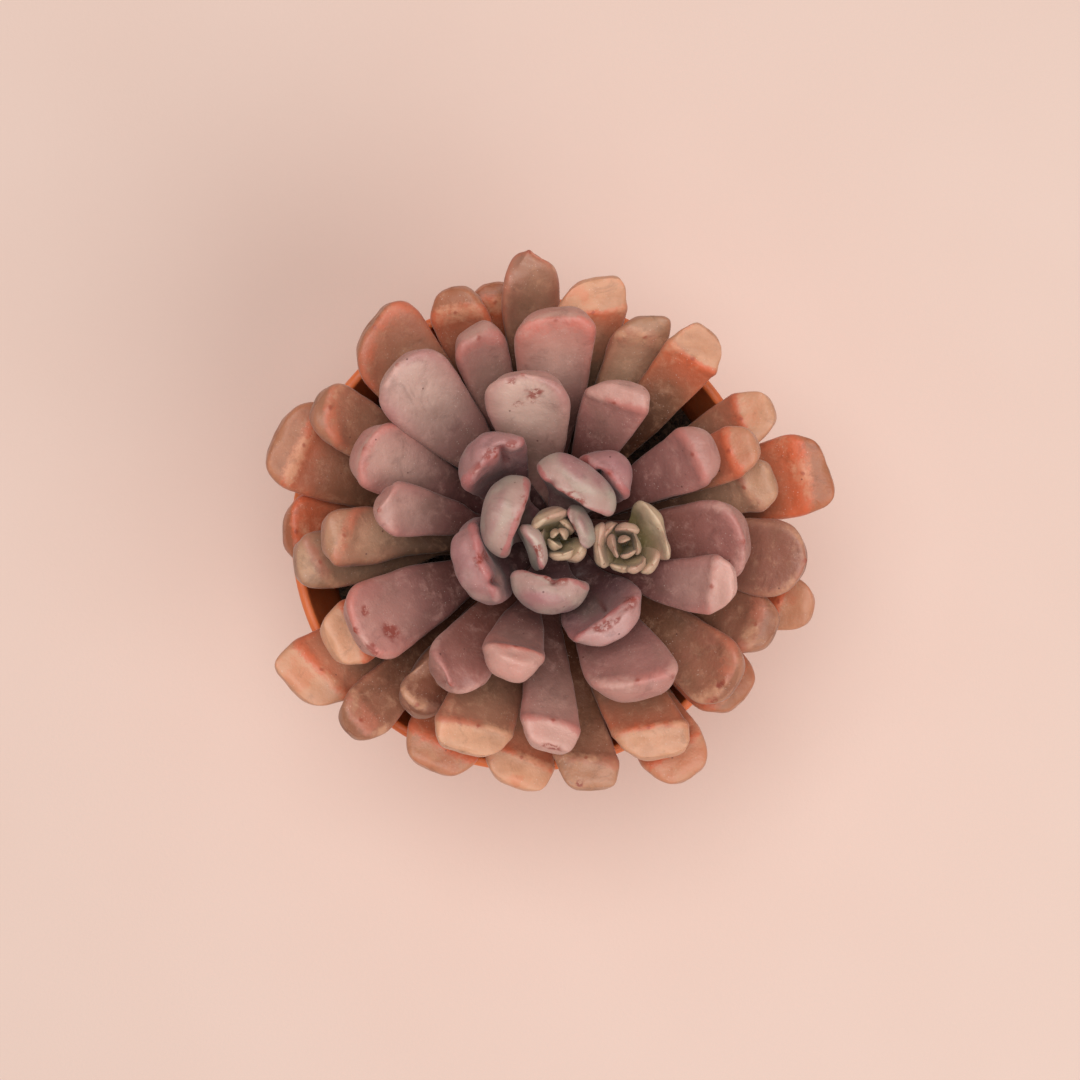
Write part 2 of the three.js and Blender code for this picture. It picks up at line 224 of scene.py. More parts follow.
def noise_at(points, size, seed):
    """Even random swells of about the given size, -1 to 1, at many points."""
    shift = Vector([seed * step for step in NOISE_STEPS])
    flat = points.reshape(-1, 3) / size
    return np.array([noise.noise(Vector(p) + shift) for p in flat]).reshape(points.shape[:-1])


def surface_normals(fine):
    """Outward normals of a fine leaf."""
    round_step = np.roll(fine, -1, 1) - np.roll(fine, 1, 1)
    along_step = np.gradient(fine, axis=0)
    normals = np.cross(round_step, along_step)
    return normals / np.maximum(np.linalg.norm(normals, axis=2, keepdims=True), 1e-12)


def scar_mask(fine, masks, chance, count):
    """Rough blotches where the skin was rubbed: 0 to 1."""
    mask = np.zeros(fine.shape[:2])
    rows, columns = fine.shape[:2]
    for _ in range(count):
        row = chance.randrange(rows // 2, rows - 3)
        column = chance.randrange(columns // 2)
        size = chance.uniform(*SCAR_SIZES) * MM
        away = np.linalg.norm(fine - fine[row, column], axis=2)
        ragged = size * (1 + 0.8 * noise_at(fine, 1.4 * MM, chance.random() * 50))
        mask = np.maximum(mask, 1 - smooth(away / np.maximum(ragged, 0.2 * MM), 0.7, 1.1))
    return mask * masks["top"]


def groove_mask(masks, grooves):
    """Deep folds that run along a leaf, 0 to 1: (side, from, to, width) each."""
    mask = np.zeros_like(masks["along"])
    for place, start, stop, width in grooves:
        dip = np.exp(-(((masks["side"] - place) / width) ** 2))
        span = smooth(masks["along"], start, start + 0.12) * (1 - smooth(masks["along"], stop - 0.08, stop))
        mask = np.maximum(mask, dip * span)
    return mask * masks["top"]


def ridge_point(masks):
    """The row and column of the little point in which a leaf's end ridge culminates."""
    quarter = AROUND // 4
    columns = masks["ridge"][:, quarter] * smooth(masks["along"][:, quarter], *POINT_STARTS)
    return int(np.argmax(columns)), quarter


def shape_leaf(base, sections, tip, look, seed):
    """A leaf's fine points with its ridge, point, hollows, swells, folds and scars, and its masks.

    The off and point masks are for the material: metres on a leaf of full length."""
    chance = random.Random(seed)
    fine = fine_grid(base, sections, tip)
    look = dict(look, tilt=chance.uniform(-TILT, TILT))
    size = min(1, np.linalg.norm(tip - base) / FULL_LENGTH)
    masks = leaf_masks(fine, base, tip, look, size)
    masks["scar"] = scar_mask(fine, masks, chance, look["scars"])
    masks["fold"] = groove_mask(masks, look["folds"])
    axis = (tip - base) / np.linalg.norm(tip - base)
    slant = look["slant"] * MM * masks["side"] * smooth(masks["along"], 0.4, 0.95)
    fine = fine + axis * slant[:, :, None]
    normals = surface_normals(fine)
    inside = 1 - masks["side"] ** 2
    push = RIDGE_HEIGHT * size * masks["ridge"]
    push -= HOLLOW * size * masks["top"] * inside * smooth(masks["along"], 0.35, 0.7) * (1 - masks["end"])
    push -= END_HOLLOW * size * masks["end"] * inside
    below = np.clip(-masks["off"], 0, BEVEL_REACH * size)
    push -= END_BEVEL * max(0, look["end_up"]) * below * masks["span"]
    swells = noise_at(fine, SWELL_SIZE * size, seed) * smooth(masks["along"], 0.05, 0.4)
    push += SWELLS * look["lumps"] * swells
    push += 0.3 * SWELLS * look["lumps"] * noise_at(fine, RIPPLE_SIZE, seed + 9)
    push -= SCAR_DEPTH * masks["scar"]
    push -= look["fold_depth"] * MM * masks["fold"]
    fade = smooth(masks["along"], 0.0, 0.12)
    fine = fine + normals * (push * fade)[:, :, None]
    tip = fine[-1].mean(axis=0)
    row, column = ridge_point(masks)
    lead = POINT_LEAN * normals[row, column] + axis
    lead /= np.linalg.norm(lead)
    away = np.linalg.norm(fine - fine[row, column], axis=2)
    spread = POINT_WIDTH * size
    fine = fine + lead * (POINT_LENGTH * size * np.exp(-((away / spread) ** 2)))[:, :, None]
    masks["point"] = away / size
    masks["off"] = masks["off"] / size
    masks["face"] = np.full_like(away, float(smooth(look["end_up"], *FACE_FROM)))
    return base, fine, tip, masks


def leaf_mesh(name, parts):
    """One mesh from (base, fine, tip, masks) leaves, with their masks as attributes."""
    verts, faces, values = [], [], {}
    for base, fine, tip, masks in parts:
        rows, start = fine.shape[0], len(verts)
        verts.append(base)
        verts.extend(fine.reshape(-1, 3))
        verts.append(tip)
        last = len(verts) - 1
        for key, mask in masks.items():
            whole = np.concatenate(([mask[0].mean()], mask.ravel(), [mask[-1].mean()]))
            values.setdefault(key, []).append(whole)
        for j in range(AROUND):
            k = (j + 1) % AROUND
            first = start + 1
            faces.append((start, first + k, first + j))
            end = first + (rows - 1) * AROUND
            faces.append((last, end + j, end + k))
            for row in range(rows - 1):
                a = first + row * AROUND
                b = a + AROUND
                faces.append((a + j, a + k, b + k, b + j))
    mesh = bpy.data.meshes.new(name)
    mesh.from_pydata([tuple(v) for v in verts], [], faces)
    for key, lists in values.items():
        layer = mesh.attributes.new(key, "FLOAT", "POINT")
        layer.data.foreach_set("value", np.concatenate(lists).astype(np.float32))
    mesh.shade_smooth()
    thing = bpy.data.objects.new(name, mesh)
    bpy.context.scene.collection.objects.link(thing)
    return thing


# ---- small leaves of the bud and the side rosette -------------------------------------------
# azimuth (degrees), reach, top, start, width and thickness (millimetres, from the tuft's foot),
# and cup, which is how steeply the margins rise
BUD_LEAVES = (
    (118, 4.6, 11.5, 0.0, 8.0, 3.2, 0.12),
    (285, 3.8, 8.0, 0.0, 5.4, 2.6, 0.1),
    (322, 5.4, 7.6, 0.0, 5.2, 2.6, 0.1),
    (178, 3.2, 8.4, 1.0, 3.6, 2.0, 0.08),
    (60, 3.2, 8.2, 1.0, 4.2, 2.0, 0.08),
    (240, 1.6, 9.0, 1.0, 3.0, 1.6, 0.08),
    (30, 1.2, 9.8, 1.2, 2.6, 1.4, 0.08),
    (130, 0.8, 10.2, 1.2, 1.8, 1.2, 0.05),
)
SIDE_LEAVES = (
    (25, 8.2, 9.6, 0.0, 13.0, 2.4, 0.14),
    (322, 7.2, 6.8, 0.0, 5.4, 2.2, 0.1),
    (182, 5.6, 9.2, 0.0, 9.0, 2.8, 0.14),
    (296, 5.4, 8.4, 0.0, 4.4, 2.2, 0.1),
    (262, 5.2, 6.8, 0.0, 5.0, 2.2, 0.1),
    (140, 4.6, 7.8, 0.2, 4.6, 2.2, 0.1),
    (86, 3.2, 9.4, 0.5, 4.4, 2.0, 0.1),
    (196, 2.6, 10.2, 1.0, 4.6, 1.4, 0.08),
    (14, 2.2, 10.4, 1.0, 5.0, 1.4, 0.08),
    (290, 2.2, 9.6, 1.0, 3.6, 1.4, 0.08),
    (110, 0.8, 10.6, 1.0, 2.2, 1.2, 0.05),
)
SECTION_AT = (0.03, 0.22, 0.42, 0.6, 0.75, 0.87, 0.955)   # shares of a small leaf's length
BELLY = 0.72                    # where it is widest
OVER, UNDER = 0.36, 0.64        # its thickness above and below its middle line
INSET = 1.0                     # millimetres from the tuft's foot to its base
TUFT_FOOT = 1.2 * MM            # the lowest part of a CAD tuft, that its foot is measured from
BUD_SEED = 370
SIDE_SEED = 377


def small_leaf(foot, azimuth, reach, top, start, width, thick, cup):
    """The sections of one small upright leaf that curls up out of a tuft's foot."""
    turn = math.radians(azimuth)
    out = np.array((math.cos(turn), math.sin(turn), 0.0))
    left = np.array((-out[1], out[0], 0.0))
    rise = np.array((0.0, 0.0, 1.0))
    base = foot - out * INSET * MM + rise * start * MM
    tip = foot + (out * reach + rise * top) * MM
    bow = (reach + INSET) * 0.75 * out + top * 0.35 * rise
    control = foot + bow * MM
    sections = []
    for t in SECTION_AT:
        centre = (1 - t) ** 2 * base + 2 * t * (1 - t) * control + t * t * tip
        along = (1 - t) * (control - base) + t * (tip - control)
        along /= np.linalg.norm(along)
        normal = np.cross(along, left)
        full = 0.3 + 0.7 * math.sin(math.pi / 2 * t / BELLY) ** 1.4
        if t > BELLY:
            full = (1 - ((t - BELLY) / (1 - BELLY)) ** 2.5) ** 0.4
        ring = []
        for k in range(RING_POINTS):
            angle = 2 * math.pi * k / RING_POINTS
            across = width / 2 * full * math.cos(angle)
            share = OVER if math.sin(angle) > 0 else -UNDER
            lift = thick * full * share * abs(math.sin(angle)) ** 0.8
            lift += cup * across * across / (width / 2 * full)
            ring.append(centre + (left * across + normal * lift) * MM)
        sections.append(ring)
    return base, np.array(sections), tip


def tuft(name, node_name, rows, look, seed):
    """A tuft of small leaves that stands for a CAD node."""
    places = np.array([v.co for v in nodes[node_name].data.vertices])
    low = places[:, 2].min()
    foot = places[places[:, 2] < low + TUFT_FOOT].mean(0)
    foot[2] = low
    parts = []
    for k, row in enumerate(rows):
        parts.append(shape_leaf(*small_leaf(foot, *row), look, seed + k))
    piece = leaf_mesh(name, parts)
    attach(piece, "root")
    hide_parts(node_name)
    return piece


# ---- how each leaf looks --------------------------------------------------------------------
# leaf number: blush (0 olive brown to 1 mauve), orange (of its end), glow (of its middle), dark,
# how far up its end's ridge lies, and its slant (millimetres, its left margin longer)
LEAF_LOOKS = {
    1: (0.1, 1.0, 0.0, 0.4, 0.4, 0), 2: (0.0, 0.9, 0.1, 0.5, 0.3, 0), 3: (0.0, 0.8, 0.2, 0.7, 0.6, 0),
    4: (0.2, 0.8, 0.6, 0.2, 0.8, 1), 5: (0.1, 0.8, 0.6, 0.1, 0.6, 0), 6: (0.3, 0.7, 0.2, 0.0, 0.4, 0),
    7: (0.0, 1.0, 0.2, 0.5, 0.6, 0), 8: (0.0, 1.0, 0.3, 0.3, 0.4, -1), 9: (0.3, 0.6, 0.3, 0.3, 0.8, 0),
    10: (0.5, 0.2, 0.4, 0.2, 0.0, 0), 11: (0.4, 0.7, 0.1, 0.4, 0.4, 0), 12: (0.1, 0.7, 0.3, 0.6, 0.5, 1),
    13: (0.1, 0.8, 0.7, 0.1, 1.0, -2), 14: (0.1, 0.2, 0.8, 0.2, 0.4, -2), 15: (0.1, 0.9, 0.2, 0.5, 1.0, 1),
    16: (0.0, 0.7, 0.8, 0.0, 0.7, -2), 17: (0.1, 0.2, 0.1, 0.7, 0.3, 0), 18: (0.2, 0.2, 0.2, 0.7, 0.6, 1),
    19: (0.4, 0.2, 0.1, 0.6, 0.4, 0), 20: (0.1, 0.1, 0.7, 0.3, 0.6, 0), 21: (0.2, 0.7, 0.4, 0.3, 1.0, 2),
    22: (0.2, 0.1, 1.0, 0.0, 0.4, 0), 23: (0.3, 0.4, 0.3, 0.3, 0.3, 0), 24: (0.3, 0.5, 0.8, 0.4, 0.2, -2),
    25: (0.1, 0.8, 0.7, 0.0, 0.8, 0), 26: (0.9, 0.0, 0.0, 1.0, 0.2, 0), 27: (0.3, 0.3, 0.4, 0.4, 1.0, -2),
    28: (1.0, 0.1, 0.0, 0.5, 0.1, 0), 29: (0.4, 0.3, 0.1, 0.5, 0.3, 0), 30: (0.4, 0.7, 0.1, 0.2, 0.6, 0),
    31: (0.2, 0.3, 0.8, 0.1, 0.4, 0), 32: (0.4, 0.2, 0.3, 0.2, 0.3, -1), 33: (0.4, 0.2, 0.4, 0.3, 0.8, 1),
    34: (0.4, 0.5, 0.7, 0.1, 0.3, -1), 35: (0.7, 0.2, 0.7, 0.0, 0.2, 0), 36: (0.6, 0.0, 0.9, 0.0, 0.1, 0),
    37: (1.0, 0.2, 0.1, 0.3, 0.5, 0), 38: (1.0, 0.1, 0.0, 0.8, 0.2, 0), 39: (0.9, 0.2, 0.2, 0.2, 0.4, 2),
    40: (0.8, 0.3, 0.3, 0.2, 0.1, 0), 41: (0.9, 0.2, 0.2, 0.3, 0.7, -2), 42: (0.8, 0.1, 0.6, 0.1, 0.2, 0),
    43: (0.9, 0.2, 0.5, 0.1, 0.9, 1), 44: (0.4, 0.0, 1.3, 0.0, 0.0, 0), 45: (1.0, 0.1, 0.1, 0.9, 0.2, 0),
    46: (0.8, 0.4, 0.4, 0.3, 0.7, 0),
}
SCARRED = {40: 6, 44: 3, 39: 1, 29: 2, 33: 2, 18: 1}   # leaf number: scars
MIDDLE_FROM = 32      # the first leaf that has the middle leaves' colours
# heart leaf number: how far up its end's ridge lies, blush, green (of its inner face), lumps,
# fold depth (millimetres) and folds (side, from, to, width)
HEART_LOOKS = {
    1: (0.4, 1.2, 0.1, 3.2, 1.2, ((-0.3, 0.6, 1.1, 0.12),)),
    2: (0.7, 1.1, 0.1, 1.6, 0.8, ((0.1, 0.5, 0.8, 0.05),)),
    3: (0.2, 1.5, 0.0, 2.4, 1.2, ((0.3, 0.5, 1.0, 0.12),)),
    4: (0.2, 1.0, 0.1, 3.0, 1.2, ((0.5, 0.7, 1.0, 0.1),)),
    5: (0.3, 0.7, 1.0, 1.2, 0.3, ((0.5, 0.75, 1.1, 0.1),)),
    6: (0.4, 0.9, 0.8, 1.6, 0.7, ((0.1, 0.8, 1.1, 0.1),)),
    7: (0.2, 0.6, 1.0, 2.0, 0.8, ((-0.3, 0.5, 0.95, 0.12),)),
}
HEART_SCARS = {1: 3, 2: 3, 3: 2, 4: 3, 5: 2, 6: 3, 7: 1}   # heart leaf number: scars
HEART_SEED = 60
INNER_SEED = 80


def look_of(blush, orange, glow, dark, end_up, slant=0, scars=0, lumps=1.0, fold_depth=0, folds=()):
    """One leaf's look, for shape_leaf and its material. On a heart leaf, glow is its green."""
    return {
        "blush": blush, "orange": orange, "glow": glow, "dark": dark, "end_up": end_up, "slant": slant,
        "scars": scars, "lumps": lumps, "fold_depth": fold_depth, "folds": folds,
    }


TONES = ("blush", "orange", "glow", "dark")   # one value over a whole leaf, for its material


def dress(node_name, look, slot, seed):
    """Replaces one CAD leaf with its fine surface."""
    base, fine, tip, masks = shape_leaf(*cad_grid(nodes[node_name]), look, seed)
    for key in TONES:
        masks[key] = np.full(fine.shape[:2], look[key])
    piece = leaf_mesh(node_name + "_skin", [(base, fine, tip, masks)])
    piece.data.materials.append(leaf_material(slot))
    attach(piece, "root")
    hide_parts(node_name)
    return piece


# ---- materials --------------------------------------------------------------------------------

def linear(red, green, blue):
    """A colour given as 0 to 255 screen values."""
    def one(value):
        share = value / 255
        return share / 12.92 if share < 0.04 else ((share + 0.055) / 1.055) ** 2.4
    return (one(red), one(green), one(blue), 1.0)


class Nodes:
    """A small helper that adds and joins shader nodes. Sizes are in metres, in object space."""

    def __init__(self, name):
        self.material = bpy.data.materials.new(name)
        self.material.use_nodes = True
        self.tree = self.material.node_tree
        self.shader = self.tree.nodes["Principled BSDF"]
        self.place = self.add("ShaderNodeTexCoord").outputs["Object"]

    def add(self, kind, **settings):
        node = self.tree.nodes.new(kind)
        for key, value in settings.items():
            setattr(node, key, value)
        return node

    def join(self, source, target):
        self.tree.links.new(source, target)

    def put(self, socket, value):
        if isinstance(value, bpy.types.NodeSocket):
            self.join(value, socket)
        else:
            socket.default_value = value

    def mask(self, name):
        return self.add("ShaderNodeAttribute", attribute_name=name).outputs["Fac"]

    def math(self, operation, a, b=0.0):
        node = self.add("ShaderNodeMath", operation=operation, use_clamp=False)
        self.put(node.inputs[0], a)
        self.put(node.inputs[1], b)
        return node.outputs[0]

    def mix(self, share, a, b):
        node = self.add("ShaderNodeMix", data_type="RGBA", blend_type="MIX", clamp_factor=True)
        self.put(node.inputs["Factor"], share)
        self.put(node.inputs["A"], a)
        self.put(node.inputs["B"], b)
        return next(o for o in node.outputs if o.type == "RGBA")

    def noise(self, size, detail=3.0, roughness=0.5, distortion=0.0):
        node = self.add("ShaderNodeTexNoise")
        self.join(self.place, node.inputs["Vector"])
        node.inputs["Scale"].default_value = 1 / size
        node.inputs["Detail"].default_value = detail
        node.inputs["Roughness"].default_value = roughness
        node.inputs["Distortion"].default_value = distortion
        return node.outputs["Fac"]

    def cells(self, size):
        node = self.add("ShaderNodeTexVoronoi", feature="F1")
        self.join(self.place, node.inputs["Vector"])
        node.inputs["Scale"].default_value = 1 / size
        return node.outputs["Distance"]

    def band(self, value, low, high, out_low=0.0, out_high=1.0):
        node = self.add("ShaderNodeMapRange", clamp=True, interpolation_type="SMOOTHSTEP")
        self.put(node.inputs["Value"], value)
        node.inputs["From Min"].default_value = low
        node.inputs["From Max"].default_value = high
        node.inputs["To Min"].default_value = out_low
        node.inputs["To Max"].default_value = out_high
        return node.outputs["Result"]

    def bump(self, heights):
        """Bumps from (height, depth in metres) pairs, one over another."""
        normal = None
        for height, depth in heights:
            node = self.add("ShaderNodeBump")
            node.inputs["Strength"].default_value = 1.0
            node.inputs["Distance"].default_value = depth
            self.put(node.inputs["Height"], height)
            if normal is not None:
                self.join(normal, node.inputs["Normal"])
            normal = node.outputs["Normal"]
        self.join(normal, self.shader.inputs["Normal"])

    def finish(self, colour, roughness):
        self.put(self.shader.inputs["Base Color"], colour)
        self.put(self.shader.inputs["Roughness"], roughness)
        return self.material


RED_BROWN = linear(140, 56, 44)
POINT_RED = linear(150, 62, 44)
FOLD_RED = linear(104, 48, 46)
SPECK = linear(236, 216, 204)
DOT = linear(84, 44, 40)
# olive, mauve, glow, rust, ripe ridge, end face (pale, also used as painted highlight), foot (dark base
# colour, also used as painted shade)
LEAF_PALETTES = {
    "outer_leaf": (
        linear(158, 122, 96), linear(162, 110, 96), linear(198, 162, 134), linear(184, 100, 62),
        linear(216, 96, 56), linear(226, 172, 138), linear(44, 24, 16),
    ),
    "middle_leaf": (
        linear(178, 142, 128), linear(174, 118, 114), linear(214, 182, 168), linear(190, 122, 102),
        linear(216, 106, 86), linear(216, 168, 156), linear(60, 26, 26),
    ),
    "heart_leaf": (
        linear(190, 184, 166), linear(164, 116, 120), linear(198, 192, 176), linear(172, 118, 114),
        linear(178, 88, 84), linear(204, 164, 158), linear(56, 30, 28),
    ),
    "young_leaf": (
        linear(188, 174, 138), linear(188, 146, 130), linear(214, 200, 148), linear(184, 134, 112),
        linear(180, 116, 98), linear(214, 190, 160), linear(96, 86, 48),
    ),
}
made_materials = {}


def leaf_material(slot):
    """Powdery fleshy skin: olive or mauve body, coloured ridge and end, specks, dots and scars, with painted
    shade towards the base and painted highlights on the margins, the ridge and the end face.
    """
    if slot in made_materials:
        return made_materials[slot]
    olive, mauve, glow, rust, ripe, pale_skin_and_highlight, foot = LEAF_PALETTES[slot]
    n = Nodes(slot)
    clouds = n.noise(9 * MM, 4, 0.6)
    grain = n.noise(1.2 * MM, 4, 0.7)
    sway = n.math("SUBTRACT", clouds, 0.5)
    along, orange, side, span = n.mask("along"), n.mask("orange"), n.mask("side"), n.mask("span")
    # the body, and the pale green inner face of the heart leaves
    body = n.mix(n.math("ADD", n.mask("blush"), n.math("MULTIPLY", sway, 2.4)), olive, mauve)
    if slot == "heart_leaf":
        inner = n.band(n.mask("off"), -6.5 * MM, -3.5 * MM)
        inner = n.math("MULTIPLY", inner, n.mask("glow"))
        body = n.mix(n.math("MULTIPLY", inner, n.band(along, 0.45, 0.7)), body, olive)
    # glow in the middle of the top face, rust towards the end, and the dark foot, partly the base's own dark
    # colour and partly painted shade between the leaves
    inside = n.math("SUBTRACT", 1.0, n.math("POWER", n.math("ABSOLUTE", side), 2.0))
    lit = n.math("MULTIPLY", n.math("MULTIPLY", inside, n.band(along, 0.45, 0.8)), n.mask("top"))
    lit = n.math("MULTIPLY", lit, n.math("MULTIPLY", n.mask("glow"), n.band(clouds, 0.3, 0.6, 0.5, 1.0)))
    body = n.mix(lit, body, glow)
    warm = n.math("MULTIPLY", orange, n.band(n.math("ADD", along, n.math("MULTIPLY", sway, 1.2)), 0.6, 1.0))
    body = n.mix(n.math("MULTIPLY", warm, 0.5), body, rust)
    # painted shade: the base darkens to the foot colour, partly its own darker colour and partly the shade
    # between the leaves
    low = n.band(n.math("ADD", along, n.math("MULTIPLY", sway, 0.3)), 0.3, 1.0, 0.95, 0.0)
    low = n.math("MULTIPLY", low, n.band(n.mask("glow"), 0.5, 1.3, 1.0, 0.45))
    body = n.mix(low, body, foot)
    body = n.mix(n.math("MULTIPLY", n.mask("dark"), 0.75), body, n.mix(0.65, rust, foot))
    # margins, half their rim colour and half pale as a painted highlight, and the end face
    rim = n.mix(orange, mauve, ripe)
    # painted highlight: the margins turn half pale where light would catch them
    margin = n.math("MULTIPLY", n.mask("edge"), n.band(along, 0.45, 0.9, 0.0, 0.4))
    body = n.mix(margin, body, n.mix(0.5, rim, pale_skin_and_highlight))
    ripeness = n.math("MULTIPLY", n.mask("end"), n.band(orange, 0.0, 1.0, 0.1, 0.4))
    body = n.mix(ripeness, body, rust)
    blotch = n.math("MULTIPLY", orange, n.band(clouds, 0.5, 0.62, 0.0, 0.45))
    # the pale end face is partly the end's own cream colour and partly a painted highlight
    end = n.math("MULTIPLY", n.mask("end"), n.band(clouds, 0.3, 0.65, 0.45, 0.85))
    body = n.mix(n.math("MULTIPLY", end, n.mask("face")), body, n.mix(blotch, pale_skin_and_highlight, ripe))
    # the ridge's line, coloured with pale stretches that are a painted highlight, and the halo above it
    ragged = n.math("MULTIPLY", n.math("SUBTRACT", grain, 0.5), 1.2)
    off = n.math("ADD", n.math("MULTIPLY", n.mask("off"), 1 / MM), ragged)
    halo = n.math("MULTIPLY", n.band(off, 0.0, 4.0, 0.7, 0.0), n.band(off, -0.9, -0.2))
    halo = n.math("MULTIPLY", n.math("MULTIPLY", halo, span), n.band(orange, 0.0, 1.0, 0.35, 1.0))
    body = n.mix(halo, body, rim)
    line = n.math("MULTIPLY", n.band(n.math("ABSOLUTE", off), 0.2, 0.9, 1.0, 0.0), span)
    body = n.mix(n.math("MULTIPLY", line, n.band(clouds, 0.4, 0.6, 0.1, 0.8)), body, n.mix(orange, rim, ripe))
    # painted highlight: pale stretches along the ridge's line
    body = n.mix(n.math("MULTIPLY", line, n.band(clouds, 0.36, 0.5, 0.6, 0.1)), body, pale_skin_and_highlight)
    # powdery bloom, smudges where it is rubbed off, pale specks and dark dots
    bloom = n.band(n.noise(3.2 * MM, 6, 0.75, 0.4), 0.48, 0.75, 0.0, 0.3)
    body = n.mix(bloom, body, pale_skin_and_highlight)
    smudge = n.band(n.noise(5 * MM, 5, 0.7, 0.8), 0.52, 0.7, 0.0, 0.45)
    body = n.mix(smudge, body, n.mix(0.5, foot, body))
    specks = n.band(n.cells(0.7 * MM), 0.05, 0.22, 0.4, 0.0)
    specks = n.math("MULTIPLY", specks, n.band(n.noise(4 * MM), 0.5, 0.62))
    body = n.mix(specks, body, SPECK)
    dots = n.band(n.cells(5 * MM), 0.03, 0.06, 0.7, 0.0)
    body = n.mix(dots, body, DOT)
    # scars, folds and the little point
    scar = n.math("MULTIPLY", n.mask("scar"), n.band(grain, 0.42, 0.5, 0.1, 1.0))
    body = n.mix(n.math("MULTIPLY", scar, 0.8), body, RED_BROWN)
    body = n.mix(n.math("MULTIPLY", n.mask("fold"), 0.7), body, FOLD_RED)
    body = n.mix(n.band(n.mask("point"), 0.2 * MM, 0.8 * MM, 0.6, 0.0), body, POINT_RED)
    n.shader.inputs["Subsurface Weight"].default_value = 0.06
    n.shader.inputs["Subsurface Radius"].default_value = (1.0, 0.35, 0.2)
    n.shader.inputs["Subsurface Scale"].default_value = 1.5 * MM
    n.shader.inputs["Specular IOR Level"].default_value = 0.45
    n.shader.inputs["Sheen Weight"].default_value = 0.12
    n.shader.inputs["Sheen Roughness"].default_value = 0.4
    rough = n.math("ADD", n.band(bloom, 0.0, 0.3, 0.42, 0.66), n.math("MULTIPLY", scar, 0.1))
    fine = n.noise(0.5 * MM, 3, 0.6)
    n.bump([(clouds, 0.35 * MM), (grain, 0.12 * MM), (fine, 0.04 * MM)])
    made_materials[slot] = n.finish(body, rough)
    return made_materials[slot]


def pot_material():
    """Smooth terracotta-coloured plastic, slightly scuffed and dusty."""
    n = Nodes("pot_plastic")
    mottle = n.noise(14 * MM, 4, 0.6)
    grain = n.noise(0.7 * MM, 3, 0.6)
    colour = n.mix(n.band(mottle, 0.3, 0.7), linear(240, 118, 62), linear(246, 132, 74))
    dust = n.math("MULTIPLY", n.band(n.noise(4 * MM, 6, 0.8), 0.52, 0.75), 0.35)
    colour = n.mix(dust, colour, linear(214, 150, 112))
    streaks = n.band(n.noise(1.6 * MM, 2, 0.5, 2.0), 0.62, 0.68, 0.0, 0.18)
    colour = n.mix(streaks, colour, linear(226, 160, 120))
    rough = n.band(grain, 0.3, 0.7, 0.42, 0.56)
    n.bump([(mottle, 0.12 * MM), (grain, 0.03 * MM)])
    return n.finish(colour, rough)


def soil_material():
    """Dark, damp, crumbly compost."""
    n = Nodes("soil_compost")
    lumps = n.noise(3 * MM, 8, 0.7)
    crumbs = n.cells(1.3 * MM)
    colour = n.mix(n.band(lumps, 0.35, 0.7), linear(24, 15, 12), linear(74, 52, 38))
    colour = n.mix(n.band(crumbs, 0.5, 0.75, 0.0, 0.5), colour, linear(104, 80, 60))
    n.bump([(lumps, 1.0 * MM), (crumbs, 0.4 * MM)])
    return n.finish(colour, 0.92)


def fibre_material():
    n = Nodes("soil_fibre")
    colour = n.mix(n.noise(5 * MM), linear(96, 62, 40), linear(164, 124, 84))
    n.bump([(n.noise(0.4 * MM), 0.05 * MM)])
    return n.finish(colour, 0.85)


def bark_material():
    """Grey-brown stem skin, ringed by the scars of shed leaves."""
    n = Nodes("stem_bark")
    patches = n.noise(4 * MM, 6, 0.7)
    rings = n.add("ShaderNodeTexWave", wave_type="BANDS", bands_direction="Z")
    n.join(n.place, rings.inputs["Vector"])
    rings.inputs["Scale"].default_value = 110
    rings.inputs["Distortion"].default_value = 4
    colour = n.mix(n.band(patches, 0.3, 0.7), linear(86, 66, 48), linear(140, 118, 88))
    colour = n.mix(n.band(rings.outputs["Fac"], 0.6, 0.9, 0.0, 0.5), colour, linear(70, 50, 36))
    n.bump([(rings.outputs["Fac"], 0.3 * MM), (patches, 0.4 * MM)])
    return n.finish(colour, 0.8)


def floor_material():
    n = Nodes("pale_floor")
    weave = n.noise(0.9 * MM, 2, 0.5)
    colour = n.mix(n.noise(60 * MM, 2), linear(232, 206, 194), linear(236, 212, 201))
    n.bump([(weave, 0.05 * MM)])
    return n.finish(colour, 0.9)


# ---- pot ----------------------------------------------------------------------------------------
POT_FACETS = 160
WALL = 1.8 * MM
FLOOR_THICK = 2.4 * MM
COLLAR_HEIGHT = 15 * MM
COLLAR_STEP = 1.5 * MM
DRAIN_HOLES = 6
DRAIN_RADIUS = 4 * MM
DRAIN_RING = 22 * MM
DRAIN_FACETS = 32
SHARP_ANGLE = 40      # degrees, over which an edge stays crisp
POT_FOOT = 1.5 * MM   # the lowest part of the CAD pot, that its foot is measured from


def rounded(outline, radius, steps=4):
    """An outline of (r, z) points with its inner corners rounded."""
    points = [Vector(p) for p in outline]
    soft = [points[0]]
    for before, here, after in zip(points, points[1:], points[2:]):
        cut = min(radius, 0.45 * (here - before).length, 0.45 * (after - here).length)
        start = here + (before - here).normalized() * cut
        end = here + (after - here).normalized() * cut
        for k in range(steps + 1):
            t = k / steps
            soft.append((1 - t) ** 2 * start + 2 * t * (1 - t) * here + t * t * end)
    soft.append(points[-1])
    return soft


def to_object(name, mesh):
    """A new object in the scene from a bmesh, which is freed."""
    data = bpy.data.meshes.new(name)
    mesh.to_mesh(data)
    mesh.free()
    thing = bpy.data.objects.new(name, data)
    bpy.context.scene.collection.objects.link(thing)
    return thing


